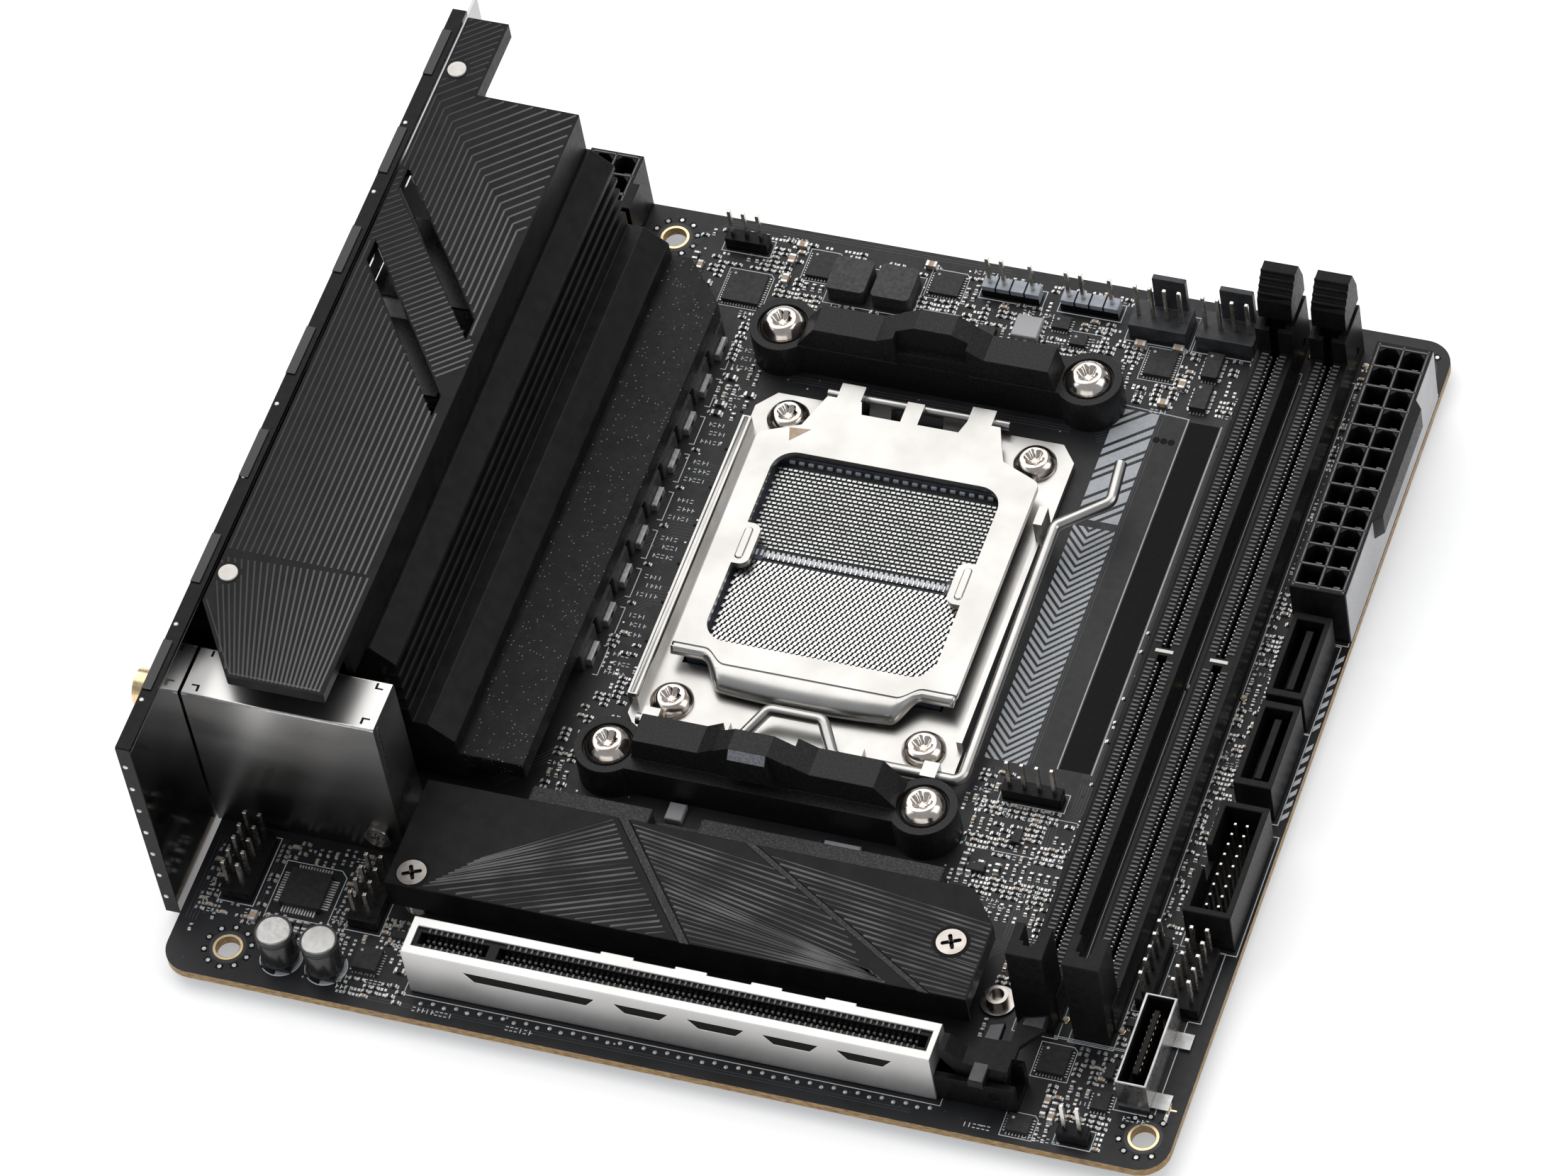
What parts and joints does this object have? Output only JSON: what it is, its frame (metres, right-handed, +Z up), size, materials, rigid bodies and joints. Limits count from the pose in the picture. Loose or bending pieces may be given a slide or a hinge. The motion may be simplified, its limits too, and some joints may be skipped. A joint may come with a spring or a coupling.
{
  "type": "computer motherboard",
  "caption": "Small square computer main board with a land-grid processor socket, memory and expansion slots, power plugs, finned heatsink and covered rear socket panel.",
  "frame": {"origin": "centre of the datum mounting hole (33.02 mm from the rear edge, 6.35 mm from the memory-latch edge), on the component side of the circuit board", "axes": "+X from the rear socket panel towards the main power plug, +Y from the expansion slot towards the memory latches, +Z up out of the component side"},
  "size_m": [0.1828, 0.1754, 0.0465],
  "materials": {
    "board": "semi-gloss black solder mask",
    "bright_steel": "bright nickel-plated sheet",
    "cover_black": "satin black moulding",
    "cream_plastic": "pale moulded plug",
    "black_metal": "black anodised",
    "cover_metal": "black anodised, brushed pattern",
    "thermal_pad": "soft gap filler",
    "chip_black": "moulded package",
    "choke_grey": "pressed powder",
    "black_plastic": "moulded nylon",
    "latch_black": "grained black moulding",
    "socket_plastic": "liquid crystal polymer",
    "contact_gold": "gold flash over nickel",
    "nickel_screw": "bright nickel plate",
    "insulator": "thin insulating film",
    "grey_plastic": "grey nylon",
    "capacitor_steel": "bare can"
  },
  "bodies": {
    "board": {"antenna_jacks": "contact_gold", "atx_power_connector": "black_plastic", "audio_capacitors": "capacitor_steel", "audio_codec": "chip_black", "audio_jacks": "black_plastic", "backplate_insulator": "insulator", "chipset": "chip_black", "chipset_heatsink": "black_metal", "cmos_battery": "insulator", "controller_chips": "chip_black", "cooler_bracket_lower": "latch_black", "cooler_bracket_screws": "nickel_screw", "cooler_bracket_upper": "latch_black", "cpu_socket_body": "socket_plastic", "dimm_contacts": "contact_gold", "dimm_slot_1": "black_plastic", "dimm_slot_2": "black_plastic", "display_ports": "bright_steel", "eps_power_connector": "black_plastic", "fan_headers": "black_plastic", "flashback_switch": "black_plastic", "header_pins": "contact_gold", "ilm_frame": "bright_steel", "ilm_screws": "nickel_screw", "io_cover": "cover_black", "io_cover_rivets": "cream_plastic", "io_shield": "bright_steel", "lan_port": "bright_steel", "led_headers": "grey_plastic", "m2_connector": "black_plastic", "m2_heatsink": "cover_metal", "m2_standoffs": "contact_gold", "pcb": "board", "pcie_contacts": "contact_gold", "pcie_slot": "black_plastic", "pcie_slot_shield": "bright_steel", "pin_headers": "black_plastic", "power_connector_pins": "contact_gold", "power_inductors": "choke_grey", "power_stages": "chip_black", "sata_port_1": "black_plastic", "sata_port_2": "black_plastic", "small_screws": "nickel_screw", "socket_backplate": "black_metal", "socket_contacts": "contact_gold", "thermal_pads": "thermal_pad", "usb3_header": "black_plastic", "usb_c_header": "bright_steel", "usb_stack_1": "bright_steel", "usb_stack_2": "bright_steel", "vrm_chokes": "choke_grey", "vrm_heatsink": "black_metal", "wifi_module": "chip_black", "wifi_shield": "bright_steel"},
    "plate": {"load_plate": "bright_steel"},
    "lever": {"load_lever": "bright_steel"},
    "latch_1": {"dimm_latch_1": "latch_black"},
    "latch_2": {"dimm_latch_2": "latch_black"},
    "card_latch": {"pcie_latch": "latch_black"},
    "button": {"flashback_button": "grey_plastic"}
  },
  "joints": [
    {"name": "load_lever_turn", "type": "hinge", "parent": "board", "child": "lever", "pos_m": [0.05398, -0.10065, 0.003], "axis": [1, 0, 0], "range_deg": [0, 108]},
    {"name": "load_plate_turn", "type": "hinge", "parent": "board", "child": "plate", "pos_m": [0.05398, -0.02905, 0.0033], "axis": [-1, 0, 0], "range_deg": [0, 100]},
    {"name": "memory_latch_1_turn", "type": "hinge", "parent": "board", "child": "latch_1", "pos_m": [0.10968, -0.00145, 0.0034], "axis": [-1, 0, 0], "range_deg": [0, 30]},
    {"name": "memory_latch_2_turn", "type": "hinge", "parent": "board", "child": "latch_2", "pos_m": [0.11893, -0.00145, 0.0034], "axis": [-1, 0, 0], "range_deg": [0, 30]},
    {"name": "card_latch_turn", "type": "hinge", "parent": "board", "child": "card_latch", "pos_m": [0.10818, -0.15505, 0.0034], "axis": [0, 1, 0], "range_deg": [0, 20]},
    {"name": "flashback_button_press", "type": "slide", "parent": "board", "child": "button", "axis": [1, 0, 0], "range_m": [0, 0.0008], "stiffness_N_per_m": 400}
  ]
}
